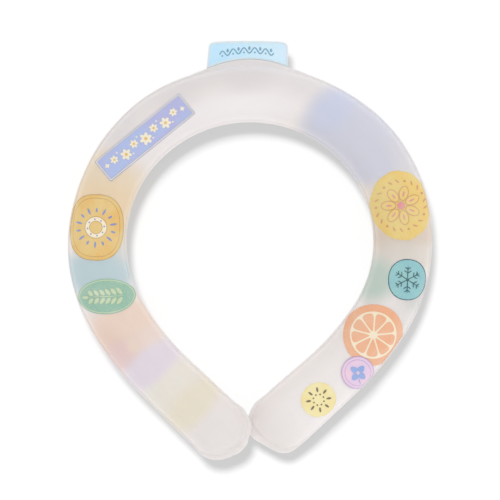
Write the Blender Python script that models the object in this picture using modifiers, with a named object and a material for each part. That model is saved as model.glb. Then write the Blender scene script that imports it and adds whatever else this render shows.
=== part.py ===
"""Cooling neck ring: two films welded along a seam, a gel core between them and a tab at the back.

Metres, +Z up. The ring lies flat on z = 0 with its tab towards +Y, and its two ends meet towards -Y.
The origin is the middle of the underside of the whole ring's box.
"""

from collections import namedtuple
from math import ceil, cos, pi, radians, sin

import bmesh
import bpy
import numpy as np
from mathutils import Vector

# The tube: its gel body, and the seam that stands out from both sides of it
BODY_WIDTH = 0.0258
BODY_HEIGHT = 0.0250
REST_FLAT = 0.0050
FILM = 0.0010
SEAM_WIDTH = 0.0012
SEAM_GAP = 0.0003
CLEARANCE = 0.0003

# The centreline: each half is three bends from the middle of the back, then a straight to its end.
# radius is a share of the ring's radius, turn is in degrees
RING_RADIUS = 0.0745
Bend = namedtuple("Bend", "radius turn")
LEFT_BENDS = (Bend(1.00, 50.5), Bend(0.94, 69.6), Bend(1.80, 17.0))
RIGHT_BENDS = (Bend(1.00, 50.5), Bend(0.93, 72.9), Bend(1.92, 13.4))

# The ends: the body tapers down to a flat weld, and the left end laps over the right one
END_RUN = 0.0180
END_WELD = 0.0032
END_TAPER = 0.0210
END_LAP = 0.0024
LAP_HOLD = 0.0080
WELD_CREST = 0.7

# Plan outline of an end: along is a share of its run, from 0 at the nose, and inner and outer are the
# seam's distances from the centreline, towards the neck and away from it, as shares of the usual one
EndRow = namedtuple("EndRow", "along inner outer")
LEFT_END = (
    EndRow(0.00, 0.27, 0.20),
    EndRow(0.05, 0.38, 0.40),
    EndRow(0.14, 0.62, 0.61),
    EndRow(0.22, 0.82, 0.78),
    EndRow(0.38, 0.90, 0.96),
    EndRow(0.54, 0.98, 1.06),
    EndRow(0.70, 1.05, 1.10),
    EndRow(1.00, 0.99, 1.06),
)
RIGHT_END = (
    EndRow(0.00, 0.56, -0.15),
    EndRow(0.05, 0.67, 0.12),
    EndRow(0.14, 0.79, 0.48),
    EndRow(0.22, 0.89, 0.70),
    EndRow(0.38, 1.01, 0.90),
    EndRow(0.54, 1.08, 0.96),
    EndRow(0.70, 1.12, 0.98),
    EndRow(1.00, 1.08, 1.00),
)

# The tab at the back, its tongue in the seam, and the seam that widens and opens round it
TAB_LEFT = -0.0208
TAB_RIGHT = 0.0182
TAB_REACH = 0.0089
TAB_THICKNESS = 0.0018
TAB_EDGE_RADIUS = 0.0004
TAB_CORNER = 0.0028
TAB_CROWN = 0.0006
TONGUE_THICKNESS = 0.0008
TONGUE_DEPTH = 0.0010
TONGUE_BITE = 0.0015
TONGUE_INSET = 0.0008
PAD_WIDTH = 0.0019
PAD_REACH = 0.0250
PAD_EASE = 0.0050

# How finely the faceted solids follow the curves
BEND_STEP = 7.5
BACK_STEP = 0.0050
STRAIGHT_STEP = 0.0120
ARC_STEPS = 5
CORNER_STEPS = 5
CLOSEST_STATIONS = 0.0008
TAPER_SHARES = (0.0, 0.06, 0.15, 0.26, 0.45, 0.70, 1.0)
GEL_START = 0.15

# Material of each piece: colour, roughness
FINISHES = {
    "upper_film": ((0.86, 0.82, 0.81), 0.45),
    "lower_film": ((0.86, 0.82, 0.81), 0.45),
    "gel_core": ((0.90, 0.87, 0.88), 0.30),
    "back_tab": ((0.56, 0.79, 0.92), 0.50),
}

Half = namedtuple("Half", "bends rows")
LEFT = Half(LEFT_BENDS, LEFT_END)
RIGHT = Half(RIGHT_BENDS, RIGHT_END)
HALF_SEAM = BODY_WIDTH / 2 + SEAM_WIDTH
SEAM_STACK = SEAM_GAP + 2 * FILM


def bend_runs(half):
    """Radius, angle and length of each bend."""
    for bend in half.bends:
        radius, angle = bend.radius * RING_RADIUS, radians(bend.turn)
        yield radius, angle, radius * angle


def walk(half, distance):
    """Plan point and heading on a half of the centreline, drawn on the right, at a distance from the back."""
    x, y, heading = 0.0, 0.0, 0.0
    left = distance
    for radius, angle, _ in bend_runs(half):
        turned = min(left / radius, angle)
        x += radius * (sin(heading + turned) - sin(heading))
        y += radius * (cos(heading + turned) - cos(heading))
        heading += turned
        left -= turned * radius
    return x + left * cos(heading), y - left * sin(heading), heading


def half_length(half):
    """Length of a half of the centreline, whose nose crosses x = 0 by half of the lap."""
    bent = sum(run for _, _, run in bend_runs(half))
    x, _, heading = walk(half, bent)
    overhang = max(
        row.inner * HALF_SEAM * sin(heading) + row.along * END_RUN * cos(heading) for row in half.rows
    )
    return bent + (x - overhang + END_LAP / 2) / -cos(heading)


LENGTHS = {LEFT: half_length(LEFT), RIGHT: half_length(RIGHT)}


def smooth(share):
    """0 to 1 with no corner at either end."""
    share = min(max(share, 0.0), 1.0)
    return share * share * (3 - 2 * share)


def to_end(s):
    """The half that a place is on and its distance to the nose. s is negative on the left half."""
    half = LEFT if s < 0 else RIGHT
    return half, LENGTHS[half] - abs(s)


def end_share(half, distance, side):
    """Share of its usual distance from the centreline that the outline has, so far from the nose."""
    share = min(max(distance / END_RUN, 0.0), 1.0)
    shares = [getattr(row, side) for row in half.rows]
    edge = float(np.interp(share, [row.along for row in half.rows], shares))
    return edge + (1 - edge) * smooth((distance - END_RUN) / (2 * END_RUN))


def rise(s):
    """Share of its full height that the body has: none at the weld, all past the taper."""
    _, distance = to_end(s)
    share = min(max((distance - END_WELD) / END_TAPER, 0.0), 1.0)
    return sin(share * pi / 2)


def pad_share(s):
    """How much the seam widens into the pad that carries the tab."""
    return cos(min(abs(s) / PAD_REACH, 1.0) * pi / 2)


def seam_half_gap(s, side):
    """Half of the gap in the seam, which opens for the tab's tongue."""
    if side == "inner":
        return SEAM_GAP / 2
    tab_middle, tab_half = (TAB_LEFT + TAB_RIGHT) / 2, (TAB_RIGHT - TAB_LEFT) / 2
    opened = smooth((tab_half + PAD_EASE - abs(s - tab_middle)) / PAD_EASE)
    return SEAM_GAP / 2 + opened * (TONGUE_THICKNESS / 2 + CLEARANCE - SEAM_GAP / 2)


def seam_reach(s, side):
    """Distance from the centreline to the seam's edge."""
    half, distance = to_end(s)
    pad = PAD_WIDTH * pad_share(s) if side == "outer" else 0.0
    return HALF_SEAM * end_share(half, distance, side) + pad


def body_reach(s, side):
    """Distance from the centreline to the root of the seam, where the body starts."""
    half, distance = to_end(s)
    inset = HALF_SEAM * end_share(half, distance - END_WELD, side) - SEAM_WIDTH
    if distance >= END_WELD:
        return inset
    middle = (seam_reach(s, side) - seam_reach(s, "inner" if side == "outer" else "outer")) / 2
    return min(inset, middle + WELD_CREST * (seam_reach(s, side) - middle))


def middle_height(s):
    """Height of the seam. Towards the ends it rises on the left and sinks on the right, for the lap."""
    _, distance = to_end(s)
    eased = smooth((distance - LAP_HOLD) / (END_WELD + END_TAPER - LAP_HOLD))
    lift = (SEAM_STACK + CLEARANCE) / 2 * (1 - eased)
    return BODY_HEIGHT / 2 + (lift if s < 0 else -lift)


def place(s, outward, up):
    """The point that is so far outward from the centreline, and so far above the seam's middle."""
    half, _ = to_end(s)
    x, y, heading = walk(half, abs(s))
    x, y = x + outward * sin(heading), y + outward * cos(heading)
    return Vector((x if s >= 0 else -x, y, middle_height(s) + up))


def dome_point(s, side, angle, up=1):
    """A point of a film's outer face. angle is 0 at the seam and a right angle at the flat."""
    inner, outer = body_reach(s, "inner"), body_reach(s, "outer")
    half, middle = (inner + outer) / 2, (outer - inner) / 2
    flat = REST_FLAT / BODY_WIDTH * half
    root = seam_half_gap(s, side) + FILM
    across = flat + (half - flat) * cos(angle)
    height = root + (BODY_HEIGHT / 2 - root) * rise(s) * sin(angle)
    return place(s, middle + (across if side == "outer" else -across), up * height)


ARC_ANGLES = [pi / 2 * step / ARC_STEPS for step in range(ARC_STEPS + 1)]
DOME = [("inner", angle) for angle in ARC_ANGLES] + [("outer", angle) for angle in reversed(ARC_ANGLES)]


def even_steps(start, end, step):
    """Distances from start to end, start left out, in even steps no longer than step."""
    count = max(1, ceil((end - start) / step - 1e-6))
    return [start + (end - start) * i / count for i in range(1, count + 1)]


def half_stations(half):
    """Distances from the back at which one half has a section."""
    length = LENGTHS[half]
    found = [0.0] + even_steps(0.0, PAD_REACH, BACK_STEP)
    start = 0.0
    for radius, _, run in bend_runs(half):
        found += even_steps(max(start, PAD_REACH), start + run, radius * radians(BEND_STEP))
        start += run
    found += even_steps(start, length - END_WELD - END_TAPER, STRAIGHT_STEP)
    found += [length - END_WELD - END_TAPER * share for share in TAPER_SHARES]
    found += [length - END_RUN * row.along for row in half.rows]
    kept = []
    for distance in sorted(found):
        if not kept or distance - kept[-1] > CLOSEST_STATIONS:
            kept.append(distance)
    kept[-1] = length
    return kept


STATIONS = [-s for s in reversed(half_stations(LEFT)[1:])] + half_stations(RIGHT)


def mesh_object(name, rows, closed, capped):
    """A mesh lofted through rows of points, the rows closed to rings or open, the ends capped or not."""
    mesh = bpy.data.meshes.new(name)
    grid = bmesh.new()
    lines = [[grid.verts.new(point) for point in row] for row in rows]
    count = len(lines[0])
    for first, second in zip(lines, lines[1:]):
        for i in range(count if closed else count - 1):
            j = (i + 1) % count
            grid.faces.new((first[i], first[j], second[j], second[i]))
    if capped:
        grid.faces.new(reversed(lines[0]))
        grid.faces.new(lines[-1])
    bmesh.ops.recalc_face_normals(grid, faces=grid.faces)
    grid.to_mesh(mesh)
    grid.free()
    obj = bpy.data.objects.new(name, mesh)
    PARTS.objects.link(obj)
    return obj


def film(name, up):
    """One film: an open skin over half of the body and the seam beside it, thickened inwards."""
    rows = []
    for s in STATIONS:
        edge_in = place(s, -seam_reach(s, "inner"), up * (seam_half_gap(s, "inner") + FILM))
        edge_out = place(s, seam_reach(s, "outer"), up * (seam_half_gap(s, "outer") + FILM))
        rows.append([edge_in] + [dome_point(s, side, angle, up) for side, angle in DOME] + [edge_out])
    skin = mesh_object(name, rows, closed=False, capped=False)
    rest_face = max(skin.data.polygons, key=lambda face: up * face.center.z)
    if rest_face.normal.z * up < 0:
        skin.data.flip_normals()
    wall = skin.modifiers.new("wall", "SOLIDIFY")
    wall.thickness = FILM
    wall.offset = -1
    wall.use_even_offset = True
    return skin


def inward(s, side, angle, up, depth):
    """A point at a depth under a film's outer face, square to the face."""
    step, turn = 0.0004, 0.02
    along = dome_point(s + step, side, angle, up) - dome_point(s - step, side, angle, up)
    low, high = max(angle - turn, 0.0), min(angle + turn, pi / 2)
    around = dome_point(s, side, high, up) - dome_point(s, side, low, up)
    normal = along.cross(around).normalized()
    point = dome_point(s, side, angle, up)
    outside = point - place(s, (body_reach(s, "outer") - body_reach(s, "inner")) / 2, 0.0)
    if normal.dot(outside) < 0:
        normal = -normal
    return point - normal * depth


def gel_core():
    """The gel: a closed body that fills the space between the two films."""
    margin = END_WELD + END_TAPER * GEL_START - CLOSEST_STATIONS
    depth = FILM + CLEARANCE
    rows = []
    for s in STATIONS:
        if margin - LENGTHS[LEFT] <= s <= LENGTHS[RIGHT] - margin:
            upper = [inward(s, side, angle, 1, depth) for side, angle in DOME]
            lower = [inward(s, side, angle, -1, depth) for side, angle in reversed(DOME)]
            rows.append(upper + lower)
    return mesh_object("gel_core", rows, closed=True, capped=True)


def flat_plate(name, outline, thickness, edge_radius):
    """A plate cut to a plan outline, with rounded edges, as a mesh centred on z = 0."""
    curve = bpy.data.curves.new(name + "_outline", "CURVE")
    curve.dimensions = "2D"
    curve.fill_mode = "BOTH"
    curve.extrude = thickness / 2 - edge_radius
    curve.bevel_depth = edge_radius
    curve.bevel_resolution = 1
    curve.offset = -edge_radius
    spline = curve.splines.new("POLY")
    spline.points.add(len(outline) - 1)
    for point, (x, y) in zip(spline.points, outline):
        point.co = (x, y, 0.0, 1.0)
    spline.use_cyclic_u = True
    drawn = bpy.data.objects.new(name + "_outline", curve)
    PARTS.objects.link(drawn)
    bpy.context.view_layer.update()
    graph = bpy.context.evaluated_depsgraph_get()
    mesh = bpy.data.meshes.new_from_object(drawn.evaluated_get(graph))
    bpy.data.objects.remove(drawn)
    welded = bmesh.new()
    welded.from_mesh(mesh)
    bmesh.ops.remove_doubles(welded, verts=welded.verts, dist=1e-6)
    bmesh.ops.recalc_face_normals(welded, faces=welded.faces)
    welded.to_mesh(mesh)
    welded.free()
    obj = bpy.data.objects.new(name, mesh)
    PARTS.objects.link(obj)
    return obj


def seam_line(shift, inset=0.0):
    """The seam's outer edge under the tab, moved outward by shift, its ends inset from the tab's sides."""
    widest = 1.5 * max(TAB_RIGHT, -TAB_LEFT)
    edge = [place(s, seam_reach(s, "outer") + shift, 0.0) for s in STATIONS if abs(s) < widest]
    xs, ys = [point.x for point in edge], [point.y for point in edge]
    first, last = TAB_LEFT + inset, TAB_RIGHT - inset
    across = [first] + [x for x in xs if first + CLEARANCE < x < last - CLEARANCE] + [last]
    return [(x, float(np.interp(x, xs, ys))) for x in across]


def tab_top():
    """Plan outline of the tab's free edge, from right to left: two round corners and a slight crown."""
    highest = place(0.0, seam_reach(0.0, "outer") + TAB_REACH, 0.0).y
    shoulder = highest - TAB_CROWN
    corners = []
    for centre_x, start in ((TAB_RIGHT - TAB_CORNER, 0.0), (TAB_LEFT + TAB_CORNER, pi / 2)):
        angles = [start + pi / 2 * step / CORNER_STEPS for step in range(CORNER_STEPS + 1)]
        corners.append([
            (centre_x + TAB_CORNER * cos(angle), shoulder + TAB_CORNER * (sin(angle) - 1)) for angle in angles
        ])
    middle, half = (TAB_LEFT + TAB_RIGHT) / 2, (TAB_RIGHT - TAB_LEFT) / 2
    crown = [(middle + half * share, highest - TAB_CROWN * share ** 2) for share in (0.5, 0.0, -0.5)]
    return corners[0] + crown + corners[1]


def back_tab():
    """The tab: a soft plate outside the seam, with a thinner tongue held between the two films."""
    plate = flat_plate("back_tab", seam_line(CLEARANCE) + tab_top(), TAB_THICKNESS, TAB_EDGE_RADIUS)
    held, joined = (seam_line(shift, TONGUE_INSET) for shift in (-TONGUE_DEPTH, CLEARANCE + TONGUE_BITE))
    tongue = flat_plate("tongue", held + joined[::-1], TONGUE_THICKNESS, 0.0)
    join = plate.modifiers.new("tongue", "BOOLEAN")
    join.operation = "UNION"
    join.object = tongue
    CUTTERS.objects.link(tongue)
    PARTS.objects.unlink(tongue)
    tongue.hide_render = True
    tongue.display_type = "WIRE"
    for piece in (plate, tongue):
        piece.location.z = BODY_HEIGHT / 2
    return plate, tongue


def finish(obj):
    """Gives a piece its own material and smooth shading between its sharper edges."""
    colour, roughness = FINISHES[obj.name]
    material = bpy.data.materials.new(obj.name)
    material.use_nodes = True
    shader = material.node_tree.nodes["Principled BSDF"]
    shader.inputs["Base Color"].default_value = (*colour, 1.0)
    shader.inputs["Roughness"].default_value = roughness
    obj.data.materials.append(material)
    obj.data.shade_smooth()
    obj.data.set_sharp_from_angle(angle=radians(40))


def middle_of_plan():
    """y of the middle of the whole ring's box, from the tab's free edge to the lowest seam point."""
    top = max(y for _, y in tab_top())
    bottom = min(place(s, seam_reach(s, "outer"), 0.0).y for s in STATIONS)
    return (top + bottom) / 2


for old in list(bpy.data.objects):
    bpy.data.objects.remove(old)
PARTS = bpy.data.collections.new("cooling_neck_ring")
CUTTERS = bpy.data.collections.new("joined_shapes")
for collection in (PARTS, CUTTERS):
    bpy.context.scene.collection.children.link(collection)

ring = bpy.data.objects.new("ring_origin", None)
PARTS.objects.link(ring)
ring.location.y = -middle_of_plan()

tab, tab_tongue = back_tab()
pieces = [film("upper_film", 1), film("lower_film", -1), gel_core(), tab]
for piece in pieces:
    piece.parent = ring
    finish(piece)
tab_tongue.parent = ring
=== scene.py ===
# %% [markdown]
# # A cooling neck ring, dressed for its picture
# The real ring is two soft frosted films welded together round a filling of cooling gel. It lies flat
# on a table, and its two ends lap at the front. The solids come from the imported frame, in metres. Here
# each of them gets a finer shape and a real finish, and the films get their prints.

from collections import namedtuple
from math import asin, atan2, ceil, cos, hypot, pi, radians, sin

import bmesh
import bpy
import numpy as np
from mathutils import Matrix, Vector


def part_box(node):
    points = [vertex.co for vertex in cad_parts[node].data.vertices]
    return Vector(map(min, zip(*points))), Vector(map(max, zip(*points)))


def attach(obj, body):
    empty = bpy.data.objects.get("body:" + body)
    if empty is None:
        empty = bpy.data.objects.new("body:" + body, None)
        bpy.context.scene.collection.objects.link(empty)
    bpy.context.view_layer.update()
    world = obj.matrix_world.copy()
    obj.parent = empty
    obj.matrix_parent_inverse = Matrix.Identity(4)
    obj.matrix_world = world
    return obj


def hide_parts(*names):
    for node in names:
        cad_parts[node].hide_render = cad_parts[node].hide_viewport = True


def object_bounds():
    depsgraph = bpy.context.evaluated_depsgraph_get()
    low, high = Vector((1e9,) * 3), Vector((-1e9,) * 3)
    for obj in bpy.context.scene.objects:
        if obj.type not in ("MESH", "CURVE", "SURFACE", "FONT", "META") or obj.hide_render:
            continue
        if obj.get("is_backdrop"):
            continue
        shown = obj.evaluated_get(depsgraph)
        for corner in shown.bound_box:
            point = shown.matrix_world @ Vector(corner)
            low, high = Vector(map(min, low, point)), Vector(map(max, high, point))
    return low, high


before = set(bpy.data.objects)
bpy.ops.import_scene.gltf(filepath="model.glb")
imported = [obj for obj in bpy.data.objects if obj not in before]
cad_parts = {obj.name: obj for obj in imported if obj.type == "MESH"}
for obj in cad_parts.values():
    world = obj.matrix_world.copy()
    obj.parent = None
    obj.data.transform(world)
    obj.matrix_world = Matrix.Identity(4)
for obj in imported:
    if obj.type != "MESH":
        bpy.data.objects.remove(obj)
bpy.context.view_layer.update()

# %% [markdown]
# ## Sizes
# The ring's height and the place of its back are read from the frame, so the new pieces sit where the
# solids are. The other sizes are those of the real thing. Each half of the centreline is three bends
# and a straight. A small table gives the plan outline of the ends, as shares of the usual width. A soft
# tube never lies quite true: the table of waves gives places from the back, in millimetres, and how
# far the outer side strays there.

# %% Sizes of the tube
MM = 0.001
BODY_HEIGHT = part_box("upper_film")[1].z
BODY_WIDTH = 25.8 * MM
REST_FLAT = 5.0 * MM
FILM = 1.0 * MM
SEAM_WIDTH = 1.2 * MM
SEAM_GAP = 0.12 * MM
CLEARANCE = 0.3 * MM
PAD_WIDTH = 1.9 * MM
PAD_REACH = 25.0 * MM
HALF_SEAM = BODY_WIDTH / 2 + SEAM_WIDTH
SEAM_HEIGHT = BODY_HEIGHT / 2
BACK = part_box("upper_film")[1].y - HALF_SEAM - PAD_WIDTH
OUTER_WAVE = (
    (-120, 0.0), (-108, -0.4), (-98, -0.85), (-84, -0.95), (-62, -0.65), (-48, -0.3), (-36, -0.55),
    (-25, -0.95), (-17, -0.95), (-9, -0.3), (0, 0.0), (8, -0.3), (15.5, -1.0), (25, -0.95),
    (36, -0.85), (48, -0.5), (60, 0.1), (72, 0.35), (96, 0.35), (112, 0.0),
)

# %% Sizes of the two halves
RING_RADIUS = 74.5 * MM
Bend = namedtuple("Bend", "radius turn")
Half = namedtuple("Half", "name bends length")
LEFT = Half("left", (Bend(1.00, 50.5), Bend(0.94, 69.6), Bend(1.80, 17.0)), 239.03 * MM)
RIGHT = Half("right", (Bend(1.00, 50.5), Bend(0.93, 72.9), Bend(1.92, 13.4)), 236.32 * MM)
EndRow = namedtuple("EndRow", "along left_inner left_outer right_inner right_outer")
END_ROWS = (
    EndRow(0.00, 0.27, 0.20, 0.56, -0.15),
    EndRow(0.05, 0.38, 0.40, 0.67, 0.12),
    EndRow(0.14, 0.62, 0.61, 0.79, 0.48),
    EndRow(0.22, 0.82, 0.78, 0.89, 0.70),
    EndRow(0.38, 0.90, 0.96, 1.01, 0.90),
    EndRow(0.54, 0.98, 1.06, 1.08, 0.96),
    EndRow(0.70, 1.05, 1.10, 1.12, 0.98),
    EndRow(1.00, 0.99, 1.06, 1.08, 1.00),
)
END_RUN = 18.0 * MM
END_WELD = 2.5 * MM
END_TAPER = 21.0 * MM
LAP_HOLD = 8.0 * MM
WELD_CREST = 0.7
CORNER_BLUR = 1.0 * MM
NOSE_BULGE = 0.6 * MM
NOSE_RUN = 3.5 * MM

# %% Sizes of the tab
TAB_LEFT, TAB_RIGHT = -20.8 * MM, 18.2 * MM
TAB_REACH = 8.9 * MM
TAB_THICKNESS = 1.8 * MM
TAB_CORNER = 2.8 * MM
TAB_CROWN = 0.6 * MM
TONGUE_THICKNESS = 0.8 * MM
TONGUE_DEPTH = 1.0 * MM
SLOT_LEFT, SLOT_RIGHT = (RING_RADIUS * asin(x / (RING_RADIUS + HALF_SEAM)) for x in (TAB_LEFT, TAB_RIGHT))
SLOT_EASE = 0.8 * MM
SLOT_ROOM = 0.2 * MM

# %% [markdown]
# ## Helpers for modelling by hand
# An operator works on what is selected, so a step begins with nothing selected. Most pieces grow in
# the same way: a line of points is extruded, and the new line is put in its place. The points keep
# their order, which is read from their places before they move.

# %% Helpers for selecting and extruding


def enter(mode):
    bpy.ops.object.mode_set(mode=mode)


def select_all():
    """Selects every point of the object that is in edit mode."""
    bpy.ops.mesh.select_all(action="SELECT")


def deselect_all():
    """Leaves edit mode, and selects no object."""
    if bpy.context.object and bpy.context.object.mode != "OBJECT":
        enter("OBJECT")
    bpy.ops.object.select_all(action="DESELECT")


def only(obj):
    """Makes one object the selected and active one, in object mode."""
    deselect_all()
    obj.select_set(True)
    bpy.context.view_layer.objects.active = obj
    return obj


def add_modifier(obj, kind, **settings):
    modifier = obj.modifiers.new(kind.lower(), kind)
    for name, value in settings.items():
        setattr(modifier, name, value)


def apply_modifiers(obj):
    only(obj)
    for modifier in list(obj.modifiers):
        bpy.ops.object.modifier_apply(modifier=modifier.name)


def join(pieces, name):
    """Joins pieces into the first of them."""
    only(pieces[0])
    for piece in pieces[1:]:
        piece.select_set(True)
    bpy.ops.object.join()
    bpy.context.object.name = name
    return bpy.context.object


def put_points(order, places):
    """Moves the selected points, taken in an order, to their places."""
    shape = bmesh.from_edit_mesh(bpy.context.object.data)
    chosen = sorted((point for point in shape.verts if point.select), key=lambda point: order(point.co))
    for point, place in zip(chosen, places, strict=True):
        point.co = place
    bmesh.update_edit_mesh(bpy.context.object.data)


def select_points(test):
    """Selects just the points whose place passes a test, in edit mode."""
    bpy.ops.mesh.select_all(action="DESELECT")
    shape = bmesh.from_edit_mesh(bpy.context.object.data)
    for point in shape.verts:
        point.select = test(point.co)
    shape.select_flush_mode()
    bmesh.update_edit_mesh(bpy.context.object.data)


def draw_outline(outline, height):
    """A closed line through an outline's points, left selected in edit mode."""
    deselect_all()
    bpy.ops.mesh.primitive_circle_add(vertices=len(outline), radius=MM, location=(0, 0, height))
    bpy.ops.object.transform_apply(location=True)
    enter("EDIT")
    shape = bmesh.from_edit_mesh(bpy.context.object.data)
    shape.verts.ensure_lookup_table()
    for point, (x, y) in zip(shape.verts, outline):
        point.co = (x, y, height)
    bmesh.update_edit_mesh(bpy.context.object.data)
    select_all()


def align_faces():
    """Turns all faces of a mesh in edit mode the same way, and leaves them selected."""
    select_all()
    bpy.ops.mesh.normals_make_consistent(inside=False)


def face_outwards(obj, up):
    """Turns an object's faces so that its highest or lowest face looks outwards."""
    crown = max(obj.data.polygons, key=lambda face: up * face.center.z)
    if crown.normal.z * up < 0:
        obj.data.flip_normals()


# %% [markdown]
# ## The centreline
# The ring is easier to model straight and to bend afterwards. The line that it is bent along is drawn
# by spinning a single point round the middle of each bend, and then extruding it along the straight.
# The two halves differ a little, as on the real ring, which never lies quite even.

# %% Draw the centreline
LINE_STEP = 1.5
STRAIGHT_STEP = 5.0 * MM


def draw_half(half, side):
    """Draws a half from the selected point, to the right (side 1) or to the left (side -1)."""
    x, y, heading = 0.0, BACK, 0.0
    left = half.length
    for bend in half.bends:
        radius, turn = bend.radius * RING_RADIUS, radians(bend.turn)
        pivot_x, pivot_y = x - radius * sin(heading), y - radius * cos(heading)
        bpy.ops.mesh.spin(
            steps=ceil(bend.turn / LINE_STEP),
            angle=side * turn,
            center=(side * pivot_x, pivot_y, 0.0),
            axis=(0.0, 0.0, 1.0),
        )
        heading += turn
        x, y = pivot_x + radius * sin(heading), pivot_y + radius * cos(heading)
        left -= radius * turn
    steps = ceil(left / STRAIGHT_STEP)
    step = (side * left * cos(heading) / steps, -left * sin(heading) / steps, 0.0)
    for _ in range(steps):
        bpy.ops.mesh.extrude_region_move(TRANSFORM_OT_translate={"value": step})


def draw_centreline():
    deselect_all()
    bpy.ops.mesh.primitive_plane_add(size=MM, location=(0.0, BACK, 0.0))
    bpy.ops.object.transform_apply(location=True)
    enter("EDIT")
    select_all()
    bpy.ops.mesh.merge(type="CENTER")
    draw_half(RIGHT, 1)
    select_points(lambda place: (place - Vector((0.0, BACK, 0.0))).length < 1e-6)
    draw_half(LEFT, -1)
    enter("OBJECT")
    bpy.ops.object.convert(target="CURVE")
    line = bpy.context.object
    line.name = "centreline"
    line.data.twist_mode = "Z_UP"
    quarter = line.data.splines[0].points[len(line.data.splines[0].points) // 4]
    if quarter.co.x > 0:
        enter("EDIT")
        bpy.ops.curve.select_all(action="SELECT")
        bpy.ops.curve.switch_direction()
        enter("OBJECT")
    return line


centreline = draw_centreline()
print("Centreline points:", len(centreline.data.splines[0].points))


def bend_round(obj):
    """Bends a straight piece round the ring. Its x runs along the centreline, from the left end."""
    add_modifier(obj, "CURVE", object=centreline, deform_axis="POS_X")
    apply_modifiers(obj)
    return obj


# %% [markdown]
# ## The section of the tube
# Each film is half of the tube and the welded seam beside it. Its outer face is a flat on top, a
# quarter of an ellipse down to each side, and the seam. Towards the ends the body sinks into a flat
# weld, and the left end is lifted to lie on the right one. These functions give all that for any
# place, which is its distance from the back, negative on the left.

# %% Shape of the tube along its length


def smooth(share):
    """0 to 1 with no corner at either end."""
    share = min(max(share, 0.0), 1.0)
    return share * share * (3 - 2 * share)


def to_end(s):
    half = LEFT if s < 0 else RIGHT
    return half, half.length - abs(s)


def end_share(half, distance, side):
    """Share of its usual distance from the centreline that the seam has, its corners rounded."""
    along = [row.along for row in END_ROWS]
    shares = [getattr(row, f"{half.name}_{side}") for row in END_ROWS]
    blurred = [distance + share * CORNER_BLUR for share in (-1, -0.5, 0, 0.5, 1)]
    edge = float(np.mean(np.interp(np.clip(blurred, 0.0, END_RUN) / END_RUN, along, shares)))
    return edge + (1 - edge) * smooth((distance - END_RUN) / (2 * END_RUN))


def pad(s, side):
    """How much wider the seam is at the back."""
    return PAD_WIDTH * cos(min(abs(s) / PAD_REACH, 1.0) * pi / 2) if side == "outer" else 0.0


def wave(s, side):
    """How far the soft tube's outer side waves in or out."""
    stops, waves = zip(*OUTER_WAVE)
    return float(np.interp(s / MM, stops, waves)) * MM if side == "outer" else 0.0


def seam_reach(s, side):
    """Distance from the centreline to the seam's edge, with the pad that carries the tab."""
    half, distance = to_end(s)
    return HALF_SEAM * end_share(half, distance, side) + pad(s, side) + wave(s, side)


def body_reach(s, side):
    """Distance from the centreline to the foot of the body."""
    half, distance = to_end(s)
    foot = HALF_SEAM * end_share(half, distance - END_WELD, side) - SEAM_WIDTH
    if distance >= END_WELD:
        return foot + wave(s, side)
    middle = (seam_reach(s, side) - seam_reach(s, "inner" if side == "outer" else "outer")) / 2
    return min(foot, middle + WELD_CREST * (seam_reach(s, side) - middle))


def bulge(s, across):
    """How far a point near an end moves along the ring, so that the end is round and not cut straight."""
    _, distance = to_end(s)
    inner, outer = seam_reach(s, "inner"), seam_reach(s, "outer")
    share = (2 * across - outer + inner) / (outer + inner)
    moved = NOSE_BULGE * (0.75 - share**2) * (1 - smooth(distance / NOSE_RUN))
    return -moved if s < 0 else moved


def rise(s):
    """Share of its full height that the body has."""
    _, distance = to_end(s)
    return sin(min(max((distance - END_WELD) / END_TAPER, 0.0), 1.0) * pi / 2)


def lift(s):
    """How far an end is lifted (left) or sunk (right) for the lap."""
    _, distance = to_end(s)
    eased = smooth((distance - LAP_HOLD) / (END_WELD + END_TAPER - LAP_HOLD))
    most = (SEAM_GAP + 2 * FILM + CLEARANCE) / 2
    return (most if s < 0 else -most) * (1 - eased)


def seam_half_gap(s, side):
    """Half of the gap in the seam, which opens for the tab's tongue."""
    middle, half = (SLOT_LEFT + SLOT_RIGHT) / 2, (SLOT_RIGHT - SLOT_LEFT) / 2
    opened = smooth((half + SLOT_ROOM - abs(s - middle)) / SLOT_EASE) if side == "outer" else 0.0
    return SEAM_GAP / 2 + opened * (TONGUE_THICKNESS / 2 + CLEARANCE - SEAM_GAP / 2)


# %% Section lines
ARC_STEPS = 14
FLAT_STEPS = 4
FILLET = 0.8 * MM
PAD_FILLET = 0.9
FILLET_TURNS = [radians(turn) for turn in (0, 18, 36, 54, 72)]
FILLET_RISE = 0.4
FILLET_SHARE = 0.7
SOFT_START = 1.6 * MM


def side_line(half, height, fillet, power):
    """Points (across, height) of one side of the body over its foot, from the foot to the flat."""
    flat = REST_FLAT / BODY_WIDTH * half
    curve = min(fillet, FILLET_RISE * height)
    turns = FILLET_TURNS if fillet else []
    line = [(half + fillet * (1 - sin(turn)), curve * (1 - cos(turn))) for turn in turns]
    start = asin((curve / height) ** (1 / power)) if height else 0.0
    for step in range(ARC_STEPS + 1):
        angle = start + (pi / 2 - start) * step / ARC_STEPS
        line.append((flat + (half - flat) * cos(angle), height * sin(angle) ** power))
    return line


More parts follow.
